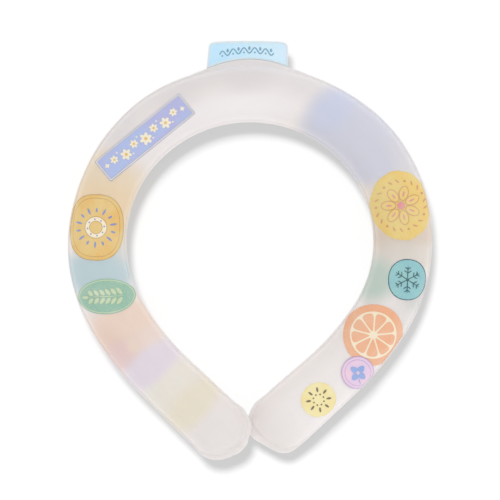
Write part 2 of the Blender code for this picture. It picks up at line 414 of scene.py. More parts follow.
def dome_line(s, up, feet, fillets):
    """Points (across, height) over the body, from its inner foot to its outer one."""
    inner, outer = body_reach(s, "inner"), body_reach(s, "outer")
    half, middle = (inner + outer) / 2, (outer - inner) / 2
    sides = []
    for side, way in (("inner", -1), ("outer", 1)):
        height = (BODY_HEIGHT / 2 - feet[side]) * rise(s)
        height *= smooth(height / SOFT_START)
        line = side_line(half, height, fillets[side], 1 + (1 - rise(s)) ** 1.5)
        sides.append([(middle + way * a, feet[side] + h) for a, h in line])
    crown = np.linspace(sides[0][-1], sides[1][-1], FLAT_STEPS + 1)[1:-1].tolist()
    level = SEAM_HEIGHT + lift(s)
    return [(across, level + up * height) for across, height in sides[0] + crown + sides[1][::-1]]


def foot_fillet(s, side):
    """Radius that eases the body into the seam: wider at the back, and never wider than the seam."""
    most = FILLET_SHARE * (seam_reach(s, side) - body_reach(s, side))
    return min(FILLET + PAD_FILLET * pad(s, side), most)


def film_line(s, up):
    """Points (across, height) over a film's outer face, from the seam's inner edge to its outer one."""
    feet = {side: seam_half_gap(s, side) + FILM for side in ("inner", "outer")}
    line = dome_line(s, up, feet, {side: foot_fillet(s, side) for side in ("inner", "outer")})
    inner_edge = (-seam_reach(s, "inner"), line[0][1])
    outer_edge = (seam_reach(s, "outer"), line[-1][1])
    return [inner_edge] + line + [outer_edge]


# %% [markdown]
# ## The films
# A film starts as a circle that is opened at the bottom and drawn onto the section line of the left
# end. That line is then extruded from station to station, closer together at the ends and round the
# tab. Solidify gives the film its wall, and Bevel rounds the seam's cut edges and the foot of the body.
# The straight top film is kept until the prints are laid on it.

# %% Draw the films straight
BODY_STEP = 2.2 * MM
END_STEP = 0.7 * MM
NOSE_STEP = 0.4 * MM
NOSE_FINE = 7.0 * MM
NEAR = 2.5 * MM
FINE_END = END_WELD + END_TAPER
EDGE_ROUND = 0.35 * MM
RIM_CORE = 0.4 * MM
RIM_FADE = 1.9 * MM
# The crease values paint light into the base colour where shade falls: in the crease at the foot of the body,
# wider at the back, and in the dip of the right end beside the lap.
PAINTED_CREASE_FADE = 2.0 * MM
PAINTED_CREASE_USUAL = 0.6
PAINTED_LAP_LIGHT = 2.0
PAINTED_LAP_SPOT = Vector((4.0 * MM, -10.0 * MM))
PAINTED_LAP_FADE = 4.5 * MM


def even_steps(start, end, step):
    count = ceil((end - start) / step)
    return [start + (end - start) * i / count for i in range(1, count + 1)]


STATIONS = [-LEFT.length]
for stop, step in (
    (NOSE_FINE - LEFT.length, NOSE_STEP),
    (FINE_END - LEFT.length, END_STEP),
    (SLOT_LEFT - NEAR, BODY_STEP),
    (SLOT_LEFT + NEAR, END_STEP),
    (SLOT_RIGHT - NEAR, BODY_STEP),
    (SLOT_RIGHT + NEAR, END_STEP),
    (RIGHT.length - FINE_END, BODY_STEP),
    (RIGHT.length - NOSE_FINE, END_STEP),
    (RIGHT.length, NOSE_STEP),
):
    STATIONS += even_steps(STATIONS[-1], stop, step)


def along(s):
    """x in the straight piece of a place on the ring."""
    return s + LEFT.length


def draw_skin(name, line_at, stations):
    """Extrudes a line of points from station to station."""
    first = line_at(stations[0])
    deselect_all()
    bpy.ops.mesh.primitive_circle_add(vertices=len(first), radius=BODY_WIDTH / 2, rotation=(0, pi / 2, 0))
    skin = bpy.context.object
    skin.name = name
    bpy.ops.object.transform_apply(rotation=True)
    enter("EDIT")
    shape = bmesh.from_edit_mesh(skin.data)
    for edge in shape.edges:
        edge.select = False
    lowest = min(shape.edges, key=lambda edge: sum(point.co.z for point in edge.verts))
    lowest.select = True
    bmesh.update_edit_mesh(skin.data)
    bpy.ops.mesh.delete(type="EDGE")
    select_all()
    order = lambda place: atan2(place.y, place.z)
    for number, s in enumerate(stations):
        if number:
            bpy.ops.mesh.extrude_region_move()
            order = lambda place: place.y
        put_points(order, [Vector((along(s) + bulge(s, y), y, z)) for y, z in line_at(s)])
    enter("OBJECT")
    return skin


def mark_edges(film):
    """Stores on each point how near it is to the film's edge, and how much painted light brightens the shaded
    crease at the foot of the body and beside the lap.
    """
    for name in ("rim", "crease"):
        film.data.attributes.new(name, "FLOAT", "POINT")
    rim, crease = film.data.attributes["rim"], film.data.attributes["crease"]
    for point, at_rim, at_painted_crease_light in zip(film.data.vertices, rim.data, crease.data):
        s, across = point.co.x - LEFT.length, point.co.y
        _, distance = to_end(s)
        sides = (("inner", -across), ("outer", across))
        inside = min([seam_reach(s, side) - off for side, off in sides] + [distance])
        at_rim.value = 1 - smooth((inside - RIM_CORE) / (RIM_FADE - RIM_CORE))
        to_foot = min(abs(off - body_reach(s, side)) for side, off in sides)
        wider = pad(s, "outer" if across > 0 else "inner")
        near = 1 - smooth(to_foot / (PAINTED_CREASE_FADE + wider))
        near *= PAINTED_CREASE_USUAL + (1 - PAINTED_CREASE_USUAL) * wider / PAD_WIDTH
        from_lap = (Vector((distance, across)) - PAINTED_LAP_SPOT).length if s > 0 else PAINTED_LAP_FADE
        at_painted_crease_light.value = max(near, PAINTED_LAP_LIGHT * (1 - smooth(from_lap / PAINTED_LAP_FADE)))


def draw_film(name, up):
    skin = draw_skin(name, lambda s: film_line(s, up), STATIONS)
    face_outwards(skin, up)
    add_modifier(skin, "SOLIDIFY", thickness=FILM, offset=-1, use_even_offset=True)
    soft = {"limit_method": "ANGLE", "angle_limit": radians(55)}
    add_modifier(skin, "BEVEL", width=EDGE_ROUND, segments=3, **soft)
    apply_modifiers(skin)
    bpy.ops.object.shade_smooth_by_angle(angle=radians(50))
    mark_edges(skin)
    return skin


film_top = draw_film("film_top", 1)
film_bottom = draw_film("film_bottom", -1)
print("Triangles in a film:", sum(len(face.vertices) - 2 for face in film_top.data.polygons))

# %% [markdown]
# ## The gel
# The gel fills the space between the films. It is drawn from the same section, as two halves that are
# joined into a closed body and then shrunk by the film's wall and a small gap.

# %% Draw the gel straight
GEL_START = 0.2


def draw_gel():
    margin = END_WELD + END_TAPER * GEL_START
    inside = [s for s in STATIONS if margin - LEFT.length < s < RIGHT.length - margin]
    none = {"inner": 0.0, "outer": 0.0}
    halves = [draw_skin(f"gel_{up}", lambda s, up=up: dome_line(s, up, none, none), inside) for up in (1, -1)]
    gel = join(halves, "gel_filling")
    enter("EDIT")
    select_all()
    bpy.ops.mesh.remove_doubles(threshold=0.01 * MM)
    for end in (along(inside[0]), along(inside[-1])):
        select_points(lambda place, end=end: abs(place.x - end) < 1e-6)
        bpy.ops.mesh.edge_face_add()
    align_faces()
    bpy.ops.transform.shrink_fatten(value=-(FILM + CLEARANCE))
    enter("OBJECT")
    bpy.ops.object.shade_smooth_by_angle(angle=radians(50))
    return gel


gel_filling = draw_gel()
print("Gel, mm:", [round(1000 * side, 1) for side in gel_filling.dimensions])

# %% [markdown]
# ## The prints
# The films carry eight soft prints. Each is drawn flat over the straight film, as ink would be laid:
# an outline of points, extruded inwards in rings so that it can follow the film's curve. Shrinkwrap
# then drops it onto the film from above, a hair proud of it, and it is bent with the ring. A print that
# reaches the foot of the body ends there, with its border kept.

# %% Draw and lay a print
INK_LIFT = 0.08 * MM
PRINT_OVER = 0.45 * MM
PRINT_STEP = 0.3 * MM
ABOVE = 30.0 * MM
Mark = namedtuple("Mark", "outline ink layer rings")


def turned(x, y, angle):
    return x * cos(angle) - y * sin(angle), x * sin(angle) + y * cos(angle)


def blob(x, y, length, width, angle=0.0, count=24, petals=0, depth=0.0, point=0.0, square=2.0):
    """Outline of a soft shape: an ellipse, with petals, a pointed end or squarer sides if asked for."""
    outline = []
    for i in range(count):
        around = 2 * pi * i / count
        c, s = cos(around), sin(around)
        radius = (abs(c) ** square + abs(s) ** square) ** (-1 / square)
        radius *= 1 + depth * cos(petals * around)
        narrowed = 1 - point * max(c, 0.0) ** 2
        u, v = turned(length / 2 * radius * c, width / 2 * radius * s * narrowed, radians(angle))
        outline.append((x + u, y + v))
    return outline


def draw_mark(outline, rings, height):
    """A flat patch inside an outline, made of rings round its middle."""
    middle = Vector((np.mean([x for x, _ in outline]), np.mean([y for _, y in outline]), height))
    draw_outline(outline, height)
    sizes = [sin(pi / 2 * ring / rings) for ring in range(rings, 0, -1)]
    for size, next_size in zip(sizes, sizes[1:]):
        bpy.ops.mesh.extrude_region_move()
        bpy.ops.transform.resize(value=(next_size / size,) * 3, center_override=middle)
    bpy.ops.mesh.extrude_region_move()
    bpy.ops.mesh.merge(type="CENTER")
    align_faces()
    enter("OBJECT")
    face_outwards(bpy.context.object, 1)
    return bpy.context.object


def drop_onto(mark, film, lift_off):
    """Drops a flat mark onto a film from above, and lifts it off along the film's normals."""
    down = {"use_project_z": True, "use_negative_direction": True, "use_positive_direction": False}
    add_modifier(mark, "SHRINKWRAP", target=film, wrap_method="PROJECT", **down)
    proud = {"wrap_method": "NEAREST_SURFACEPOINT", "wrap_mode": "ABOVE_SURFACE", "offset": lift_off}
    add_modifier(mark, "SHRINKWRAP", target=film, **proud)
    apply_modifiers(mark)


def onto_bend(s, across, u, v):
    """Place in the strip of a point beside (s, across), so that the bent print keeps its shape."""
    half, distance = to_end(s)
    passed = half.length - distance
    for bend in half.bends:
        radius = bend.radius * RING_RADIUS
        passed -= radius * radians(bend.turn)
        if passed < 0:
            break
    if passed >= 0:
        return s + u, across + v
    out = radius + across + v
    return s + radius * atan2(u, out), hypot(u, out) - radius


def lay_print(name, s, across, turn, marks, above):
    """Draws a print's marks in their place in the strip, lays them on the film and joins them."""
    drawn = []
    for mark in marks:
        outline = []
        for x, y in mark.outline:
            u, v = turned(x, y, radians(turn))
            x, y = onto_bend(s, across, u, v)
            past = PRINT_OVER - PRINT_STEP * (mark.layer - 1)
            y = min(max(y, -body_reach(x, "inner") - past), body_reach(x, "outer") + past)
            outline.append((along(x), y))
        piece = draw_mark(outline, mark.rings, ABOVE)
        piece.data.materials.append(INK[mark.ink])
        drop_onto(piece, film_top, INK_LIFT * (mark.layer + above))
        drawn.append(piece)
    made = join(drawn, name)
    bpy.ops.object.shade_smooth()
    return made


# %% [markdown]
# ## Finishes
# Every finish is built from nodes on Object coordinates, which here are metres in the ring's own
# frame. Small helpers add a node and wire it up, so that each finish reads as a short recipe.

# %% Helpers for finishes


def add_node(tree, kind, settings=None, **inputs):
    """Adds a node and feeds its inputs with numbers or with other nodes' outputs."""
    made = tree.nodes.new("ShaderNode" + kind)
    for name, value in (settings or {}).items():
        setattr(made, name, value)
    for name, value in inputs.items():
        feed(tree, made.inputs[name.replace("_", " ")], value)
    return made


def feed(tree, socket, value):
    if isinstance(value, bpy.types.NodeSocket):
        tree.links.new(value, socket)
    else:
        socket.default_value = value


def linear(red, green, blue):
    """A colour as it looks on a screen, 0 to 255, as the light values that a shader needs."""
    shares = [value / 255 for value in (red, green, blue)]
    return tuple(v / 12.92 if v <= 0.04045 else ((v + 0.055) / 1.055) ** 2.4 for v in shares) + (1.0,)


def new_finish(name, **inputs):
    finish = bpy.data.materials.new(name)
    finish.use_nodes = True
    shader = finish.node_tree.nodes["Principled BSDF"]
    for socket, value in inputs.items():
        shader.inputs[socket.replace("_", " ")].default_value = value
    return finish, finish.node_tree, shader


def places(tree):
    return add_node(tree, "TexCoord").outputs["Object"]


def noise(tree, here, scale, detail=2.0, roughness=0.5):
    return add_node(tree, "TexNoise", Vector=here, Scale=scale, Detail=detail, Roughness=roughness)


def emboss(tree, shader, texture, strength, depth):
    """Raises and sinks a finish's surface by a texture, on top of what is there already."""
    bump = add_node(tree, "Bump", Strength=strength, Distance=depth, Height=texture.outputs["Fac"])
    for link in shader.inputs["Normal"].links:
        feed(tree, bump.inputs["Normal"], link.from_socket)
    feed(tree, shader.inputs["Normal"], bump.outputs["Normal"])


def mix_colours(tree, share, first, second):
    """A colour between two others."""
    mixed = add_node(tree, "Mix", {"data_type": "RGBA"})
    for number, value in ((0, share), (6, first), (7, second)):
        feed(tree, mixed.inputs[number], value)
    return mixed.outputs[2]


def vector_sum(tree, operation, *values, **inputs):
    made = add_node(tree, "VectorMath", {"operation": operation}, **inputs)
    for socket, value in zip(made.inputs, values):
        feed(tree, socket, value)
    return made.outputs[0]


def remap(tree, value, low, high, new_low=0.0, new_high=1.0, kind="LINEAR"):
    settings = {"interpolation_type": kind, "clamp": True}
    ends = {"From_Min": low, "From_Max": high, "To_Min": new_low, "To_Max": new_high}
    return add_node(tree, "MapRange", settings, Value=value, **ends).outputs["Result"]


# %% [markdown]
# ## The frosted film
# The film is milky, and soft washes of colour run into each other round the ring, like watercolour.
# Each wash is an oval spot: a Mapping node puts the spot's middle, turn and size in place, a
# spherical gradient fades it, and a Mix node lays its colour over the ones before. The places are
# blurred by a little noise, so that no wash has a drawn edge. Fine grain gives the frosted touch.

# %% Colour washes


def on_ring(s, across):
    """x, y and direction of the ring at a distance from the back and from the centreline."""
    half = LEFT if s < 0 else RIGHT
    side = -1 if s < 0 else 1
    x, y, heading, left = 0.0, BACK, 0.0, abs(s)
    for bend in half.bends:
        radius = bend.radius * RING_RADIUS
        turn = min(radians(bend.turn), left / radius)
        x += radius * (sin(heading + turn) - sin(heading))
        y += radius * (cos(heading + turn) - cos(heading))
        heading += turn
        left -= radius * turn
    x += left * cos(heading) + across * sin(heading)
    y += -left * sin(heading) + across * cos(heading)
    return side * x, y, -side * heading


Wash = namedtuple("Wash", "s across along width colour strength core")
MILK = linear(235, 226, 223)
# The first two rows make the back paler over its inner half, the next four make it greyer over its outer
# half, and the last two make the lower right paler.
WASHES = (
    (-30, -11, 44, 17, (246, 238, 239), 0.75, 0.1),
    (4, -9, 40, 19, (250, 243, 243), 0.85, 0.1),
    (-66, 13, 34, 17, (223, 216, 216), 0.85, 0.2),
    (-32, 14, 36, 17, (223, 216, 216), 0.9, 0.2),
    (-2, 14, 36, 17, (223, 216, 216), 0.95, 0.2),
    (24, 14, 26, 16, (226, 220, 221), 0.8, 0.2),
    (56, 0, 31.5, 30, (208, 208, 220), 1.0, 0.62),
    (41, 3, 14, 18, (203, 207, 228), 0.9, 0.2),
    (78, 12, 22, 12, (214, 210, 215), 0.8, 0.2),
    (89, -12, 13, 12, (227, 213, 198), 0.8, 0.2),
    (-84, 0, 19, 27, (232, 212, 187), 1.0, 0.35),
    (-98, -5, 19, 30, (234, 208, 176), 1.0, 0.45),
    (-113, -11, 15, 12, (224, 208, 188), 0.8, 0.2),
    (-128.5, 1, 13.5, 31, (189, 206, 211), 1.0, 0.42),
    (-120, -12, 9, 9, (217, 214, 208), 0.6, 0.1),
    (-156, 0, 18, 28, (237, 211, 196), 1.0, 0.40),
    (-160, 11, 14, 12, (230, 199, 185), 0.6, 0.2),
    (-169, 8, 12, 16, (229, 200, 197), 0.9, 0.3),
    (-169, -7, 10, 14, (236, 213, 204), 0.8, 0.2),
    (-167, 1, 6, 5, (237, 216, 198), 0.7, 0.1),
    (-180, 0, 11, 28, (227, 215, 225), 1.0, 0.35),
    (-193, 0, 9, 28, (234, 226, 216), 1.0, 0.30),
    (-205, 0, 12, 28, (233, 222, 203), 1.0, 0.35),
    (-228, 2, 16, 26, (231, 224, 222), 0.8, 0.3),
    (110, 0, 14, 32, (216, 199, 184), 0.95, 0.42),
    (121, 3, 11, 28, (219, 211, 202), 0.9, 0.30),
    (134.5, -10, 14.5, 15, (190, 205, 195), 1.0, 0.30),
    (137, 11, 14, 10, (204, 204, 202), 0.8, 0.2),
    (150, 9, 12, 12, (223, 219, 216), 0.7, 0.1),
    (200, 0, 42, 32, (243, 234, 231), 0.9, 0.3),
    (196, 9, 34, 13, (245, 237, 235), 0.7, 0.1),
)
SOFT_EDGE = 5.0 * MM


def washed_colour(tree):
    """The milky ground with every wash laid over it."""
    here = places(tree)
    cloud = noise(tree, here, 22.0, 1.0)
    shift = vector_sum(tree, "SUBTRACT", cloud.outputs["Color"], (0.5, 0.5, 0.5))
    moved = vector_sum(tree, "ADD", here, vector_sum(tree, "SCALE", shift, Scale=SOFT_EDGE * 2))
    colour = MILK
    for wash in (Wash(*row) for row in WASHES):
        x, y, direction = on_ring(wash.s * MM, wash.across * MM)
        spot = add_node(tree, "Mapping", {"vector_type": "TEXTURE"}, Vector=moved)
        feed(tree, spot.inputs["Location"], (x, y, 0.0))
        feed(tree, spot.inputs["Rotation"], (0.0, 0.0, direction))
        feed(tree, spot.inputs["Scale"], (wash.along * MM, wash.width * MM, 1.0))
        fade = add_node(tree, "TexGradient", {"gradient_type": "SPHERICAL"}, Vector=spot.outputs[0])
        share = remap(tree, fade.outputs["Fac"], 0.0, 1.0 - wash.core, 0.0, wash.strength, "SMOOTHSTEP")
        colour = mix_colours(tree, share, colour, linear(*wash.colour))
    return colour


# %% Frosted film
# The rim tone is partly the welded edge's own paler tone and partly painted light that lifts the shade along
# the seam.
RIM_TONE_AND_PAINTED_LIGHT = linear(232, 228, 226)
RIM_TONE_AND_LIGHT_SHARE = 0.45
GRAIN = 2600.0
GRAIN_DEPTH = 0.05 * MM
PAINTED_CREASE_LIFT = 0.11


def frosted_film(name):
    """The film's finish. Its edge is paler, partly its own tone and partly painted light, and painted light
    brightens the shaded crease at the body's foot and beside the lap.
    """
    finish, tree, shader = new_finish(
        name,
        Subsurface_Weight=0.35,
        Subsurface_Radius=(1.0, 0.85, 0.8),
        Subsurface_Scale=3.0 * MM,
        Specular_IOR_Level=0.35,
    )
    # The edge is paled: its own paler tone, and painted light against the shade at the seam.
    rim = add_node(tree, "Attribute", {"attribute_name": "rim"}).outputs["Fac"]
    pale = remap(tree, rim, 0.0, 1.0, 0.0, RIM_TONE_AND_LIGHT_SHARE)
    colour = mix_colours(tree, pale, washed_colour(tree), RIM_TONE_AND_PAINTED_LIGHT)
    # Painted light: the base colour is brightened in the shaded crease and beside the lap.
    crease = add_node(tree, "Attribute", {"attribute_name": "crease"}).outputs["Fac"]
    painted_light = remap(tree, crease, 0.0, PAINTED_LAP_LIGHT, 1.0, 1.0 + PAINTED_CREASE_LIFT * PAINTED_LAP_LIGHT)
    feed(tree, shader.inputs["Base Color"], vector_sum(tree, "SCALE", colour, Scale=painted_light))
    here = places(tree)
    grain = noise(tree, here, GRAIN, roughness=0.6)
    emboss(tree, shader, noise(tree, here, 55.0), 0.25, 1.2 * MM)
    emboss(tree, shader, grain, 0.18, GRAIN_DEPTH)
    feed(tree, shader.inputs["Roughness"], remap(tree, grain.outputs["Fac"], 0.3, 0.7, 0.46, 0.60))
    return finish


FROSTED = frosted_film("frosted_film")

# %% Cloudy gel


def cloudy_gel():
    finish, tree, shader = new_finish(
        "cloudy_gel", Roughness=0.30, Subsurface_Weight=0.5, Subsurface_Scale=5.0 * MM
    )
    cloud = noise(tree, places(tree), 60.0, 4.0, 0.6)
    share = remap(tree, cloud.outputs["Fac"], 0.35, 0.65)
    cloudy = mix_colours(tree, share, linear(226, 224, 228), linear(242, 241, 243))
    feed(tree, shader.inputs["Base Color"], cloudy)
    emboss(tree, shader, cloud, 0.2, 0.5 * MM)
    return finish


GEL = cloudy_gel()

# %% [markdown]
# ## Printing inks
# The inks are matt and a little uneven, as screen printing on soft film is: a slow cloud varies the
# tone, and a fine speckle lets the milky film show through.

# %% Printing inks
INK_CLOUD = 90.0
INK_SPECKLE = 1500.0


def printing_ink(name, colour, second=None):
    """An ink whose tone drifts from one colour to a second, or to a slightly paler one."""
    finish, tree, shader = new_finish(name, Roughness=0.55, Specular_IOR_Level=0.35)
    here = places(tree)
    paler = tuple(value + (255 - value) * 0.16 for value in colour)
    cloud = noise(tree, here, INK_CLOUD)
    drift = remap(tree, cloud.outputs["Fac"], 0.35, 0.65, kind="SMOOTHSTEP")
    toned = mix_colours(tree, drift, linear(*colour), linear(*(second or paler)))
    speckle = noise(tree, here, INK_SPECKLE, 3.0, 0.7)
    thin = remap(tree, speckle.outputs["Fac"], 0.5, 0.8, 0.0, 0.35)
    feed(tree, shader.inputs["Base Color"], mix_colours(tree, thin, toned, MILK))
    emboss(tree, shader, speckle, 0.15, 0.04 * MM)
    return finish


INKS = {
    "periwinkle": [(172, 187, 228), (178, 180, 222)],
    "violet_line": [(148, 158, 200)],
    "cream": [(240, 230, 205)],
    "gold": [(228, 185, 108), (227, 197, 130)],
    "bronze_line": [(186, 154, 96)],
    "violet_blue": [(118, 134, 192)],
    "mint": [(147, 188, 167), (160, 193, 174)],
    "pale_green": [(196, 211, 172)],
    "yellow": [(231, 198, 114), (228, 204, 131)],
    "rose": [(220, 140, 142)],
    "tan": [(208, 150, 106)],
    "teal": [(139, 191, 198), (147, 198, 199)],
    "deep_teal": [(48, 92, 100), (66, 108, 112)],
    "apricot": [(236, 173, 134), (236, 184, 151)],
    "light_cream": [(242, 226, 196)],
    "lilac": [(222, 200, 230), (236, 204, 222)],
    "purple_line": [(186, 160, 214)],
    "sky": [(142, 168, 222)],
    "lemon": [(240, 224, 160), (242, 230, 176)],
    "brown": [(112, 98, 74)],
    "steel_blue": [(104, 152, 180)],
}
INK = {name: printing_ink(f"ink_{name}", *tones) for name, tones in INKS.items()}

# %% [markdown]
# ## Eight prints
# All eight are plain small motifs: a ribbon of daisies, a sun, a sprig, a blossom, a snowflake, an
# orange slice, a clover and a ring of seeds. A print is a list of marks, each with its outline, its
# ink and its layer. What repeats round a middle is made by a loop.

# %% Marks of the prints
FINE, COARSE = 20, 3


def mark(ink, layer, x, y, length, width, angle=0.0, count=20, **form):
    """A small mark, its sizes in millimetres."""
    outline = blob(x * MM, y * MM, length * MM, width * MM, angle, count, **form)
    return Mark(outline, ink, layer, COARSE)


def wheel(count, radius, start=0.0):
    """Places and angles of things set evenly round a middle."""
    for i in range(count):
        angle = start + 360 * i / count
        yield radius * cos(radians(angle)), radius * sin(radians(angle)), angle


def bordered(inks, length, width, insets, count=96, **form):
    """Grounds that lie on each other, each a little smaller than the one below it."""
    grounds = []
    for layer, (ink, inset) in enumerate(zip(inks, insets)):
        size = ((length - 2 * inset) * MM, (width - 2 * inset) * MM)
        grounds.append(Mark(blob(0, 0, *size, count=count, **form), ink, 1 + 0.5 * layer, FINE))
    return grounds


def daisy(x, y, size, petals, petal_ink, eye_ink, layer, start=0.0):
    """A small flower: petals round an eye."""
    marks = [
        mark(petal_ink, layer + 0.3 * (number % 2), x + u, y + v, 0.42 * size, 0.27 * size, angle, 12)
        for number, (u, v, angle) in enumerate(wheel(petals, 0.27 * size, start))
    ]
    return marks + [mark(eye_ink, layer + 0.7, x, y, 0.26 * size, 0.26 * size, count=12)]


def segment(ink, layer, near, far, angle, spread, gap):
    """A slice of a wheel with round corners: between two radii, as wide as the spread less a gap."""
    outline = []
    for u, v in blob(0, 0, 2, 2, count=32, square=4.5):
        radius = (near + far) / 2 + (far - near) / 2 * u
        turn = radians(angle) + (radians(spread) / 2 - gap / radius / 2) * v
        outline.append((radius * cos(turn) * MM, radius * sin(turn) * MM))
    return Mark(outline, ink, layer, 6)


# %% Daisy ribbon, sun and sprig
inks = ("violet_line", "cream", "violet_line", "periwinkle")
ribbon = bordered(inks, 51.8, 12.5, (0, 0.35, 0.8, 1.05), 320, square=44.0)
for number, size in enumerate((4.2, 5.8, 4.5, 6.4, 4.5, 5.8, 4.2)):
    x = 6.0 * (number - 3)
    ribbon += daisy(x, 0.8 * (-1) ** number, size, 6, "cream", "gold", 4.0, start=17 * number)
    if number < 6:
        ribbon.append(mark("cream", 4.0, x + 3.0, 2.6 * (-1) ** number, 0.9, 0.9, count=10))
for x, y in ((-22.4, 0.6), (22.4, -0.6)):
    ribbon.append(mark("cream", 4.0, x, y, 1.9, 1.9, count=24, petals=4, depth=0.35))

inks = ("bronze_line", "gold", "bronze_line", "gold")
sun = bordered(inks, 31.5, 25.6, (0, 0.35, 1.7, 1.95), 320, square=2.6)
for number, (u, v, angle) in enumerate(wheel(14, 8.3)):
    sun.append(mark("violet_blue", 3.0, u, v, 3.4 if number % 2 else 2.2, 0.95, angle, 20, point=0.5))
sizes = ((10.6, "bronze_line"), (9.9, "light_cream"), (6.3, "bronze_line"), (5.7, "gold"))
for step, (size, ink) in enumerate(sizes):
    sun.append(mark(ink, 3.0 + 0.5 * step, 0, 0, size, size, count=48))
for u, v, angle in wheel(8, 3.95, 10):
    sun.append(mark("violet_blue", 4.5, u, v, 0.75, 0.75, count=10))

sprig = bordered(("mint", "pale_green", "mint"), 17.0, 27.6, (0, 0.55, 0.95), 240)
sprig.append(mark("pale_green", 3.0, 0, 0.5, 0.45, 17.5))
for step in range(6):
    for way in (-1, 1):
        x, y = way * (2.35 - 0.1 * step), 2.7 * step - 6.2
        sprig.append(mark("pale_green", 3.5, x, y, 4.2 - 0.2 * step, 1.75, 90 - way * 52, 16, point=0.6))
sprig.append(mark("pale_green", 3.5, 0, 9.9, 3.0, 1.6, 90, 16, point=0.6))

# %% Blossom, snowflake and orange slice
blossom = bordered(("yellow", "yellow"), 33.4, 28.6, (0, 0.8), 300, petals=10, depth=0.010)
for u, v, angle in wheel(7, 5.9):
    blossom.append(mark("tan", 3.0, u, v, 7.2, 4.6, angle, 28))
    blossom.append(mark("yellow", 3.5, u, v, 6.4, 3.8, angle, 28))
    blossom.append(mark("rose", 4.0, 0.95 * u, 0.95 * v, 2.8, 0.8, angle, 12))
for number, (u, v, angle) in enumerate(wheel(21, 11.7, 4)):
    size = (2.4, 0.7) if number % 3 else (1.2, 1.2)
    blossom.append(mark("tan", 3.0, u, v, *size, angle + 40, 12))
blossom.append(mark("rose", 4.0, 0, 0, 3.6, 3.6, count=28))

snowflake = bordered(("deep_teal", "teal"), 19.6, 18.4, (0, 0.42), 96, square=2.2)
for u, v, angle in wheel(6, 3.3):
    snowflake.append(mark("deep_teal", 3.0, u, v, 6.6, 0.5, angle, 12))
    for reach, length in ((0.95, 2.2), (1.5, 1.7)):
        for turn in (-55, 55):
            across = radians(angle + turn)
            tip = (reach * u + length / 2 * cos(across), reach * v + length / 2 * sin(across))
            snowflake.append(mark("deep_teal", 3.5, *tip, length, 0.45, angle + turn, 10))
snowflake.append(mark("deep_teal", 4.0, 0, 0, 1.5, 1.5, count=16))

slice_marks = bordered(("apricot", "apricot"), 29.6, 28.6, (0, 0.6), 280)
slice_marks.append(Mark(blob(0, 0, 22.6 * MM, 22.0 * MM, count=90), "light_cream", 3.0, 12))
for _, _, angle in wheel(9, 1.0, 12):
    slice_marks.append(segment("apricot", 3.5, 1.9, 10.3, angle, 40, 0.75))

# %% Clover and seed ring
clover = bordered(("purple_line", "lilac", "purple_line", "lilac"), 15.6, 15.6, (0, 0.4, 1.5, 1.8), 72)
for u, v, angle in wheel(4, 2.35, 45):
    clover.append(mark("sky", 4.0, u, v, 3.5, 2.9, angle, 18, petals=3, depth=0.08))
clover.append(mark("sky", 4.0, 0.2, -3.9, 0.4, 3.2, 12, 10))

seeds = bordered(("lemon", "lemon"), 17.0, 16.4, (0, 0.5), 80)
for u, v, angle in wheel(8, 4.9, 10):
    seeds.append(mark("brown", 3.0, u, v, 2.5, 1.0, angle, 12, point=0.4))
for u, v, angle in wheel(8, 2.6, 32):
    seeds.append(mark("brown", 3.0, u, v, 0.8, 0.8, count=10))

# %% Lay the prints
Place = namedtuple("Place", "name s across turn marks above")
PRINTS = [
    Place("print_daisy_ribbon", -56.6, -1.8, -4.6, ribbon, 0),
    Place("print_sun", -107, 0.2, 3, sun, 0),
    Place("print_sprig", -140.5, 0.0, -19, sprig, 0),
    Place("print_blossom", 96.5, 0.7, 0, blossom, 0),
    Place("print_snowflake", 131, 4.0, 12, snowflake, 0),
    Place("print_orange_slice", 161, 1.2, 20, slice_marks, 0),
    Place("print_clover", 179, 7.0, 140, clover, 4),
    Place("print_seeds", 201, 3.4, 0, seeds, 0),
]
prints = [lay_print(p.name, p.s * MM, p.across * MM, *p[3:]) for p in PRINTS]
print("Marks printed:", sum(len(p.marks) for p in PRINTS))

# %% [markdown]
# ## Bend everything round the ring
# The prints follow the film exactly, because the same curve bends them. The films and the gel stand
# for the frame's solids, which stay in place for collision.

# %% Bend and hand over the pieces
for straight in [film_top, film_bottom, gel_filling] + prints:
    bend_round(straight)
for piece, node, slot, finish in (
    (film_top, "upper_film", "frosted_film", FROSTED),
    (film_bottom, "lower_film", "frosted_film", FROSTED),
    (gel_filling, "gel_core", "gel", GEL),
):
    piece.data.materials.append(finish)
    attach(piece, "root")
    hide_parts(node)
    corners = np.array([corner[:] for corner in piece.bound_box])
    low, high = Vector(corners.min(axis=0)), Vector(corners.max(axis=0))
    gap = max((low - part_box(node)[0]).length, (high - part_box(node)[1]).length)
    print(f"{piece.name}: corners within {1000 * gap:.2f} mm of the solid's")
for made in prints:
    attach(made, "root")

# %% [markdown]
# ## The tab
# The tab is a soft blue plate with a thin tongue that is held in the seam. Its outline follows the
# seam's arc below and has round corners above. The outline is filled and extruded to a plate, its rim
# is bevelled, and an inset on both faces leaves a low welded border. The tongue is a second, thinner
# plate. The print on it is a wave with drops, extruded along its path.

# %% Draw the tab
TAB_BORDER = 0.75 * MM
TAB_SINK = 0.12 * MM
TAB_ROUND = 0.3 * MM
TAB_LEAN = 0.9 * MM
TONGUE_BITE = 1.5 * MM
TONGUE_INSET = 1.4 * MM
ROOT_GAP = 0.08 * MM


def seam_arc(x, shift=0.0):
    """y of the seam's outer edge at an x behind the neck."""
    radii = [(s * MM, RING_RADIUS + seam_reach(s * MM, "outer") + shift) for s in range(-40, 41)]
    xs = [radius * sin(s / RING_RADIUS) for s, radius in radii]
    ys = [BACK - RING_RADIUS + radius * cos(s / RING_RADIUS) for s, radius in radii]
    return float(np.interp(x, xs, ys))


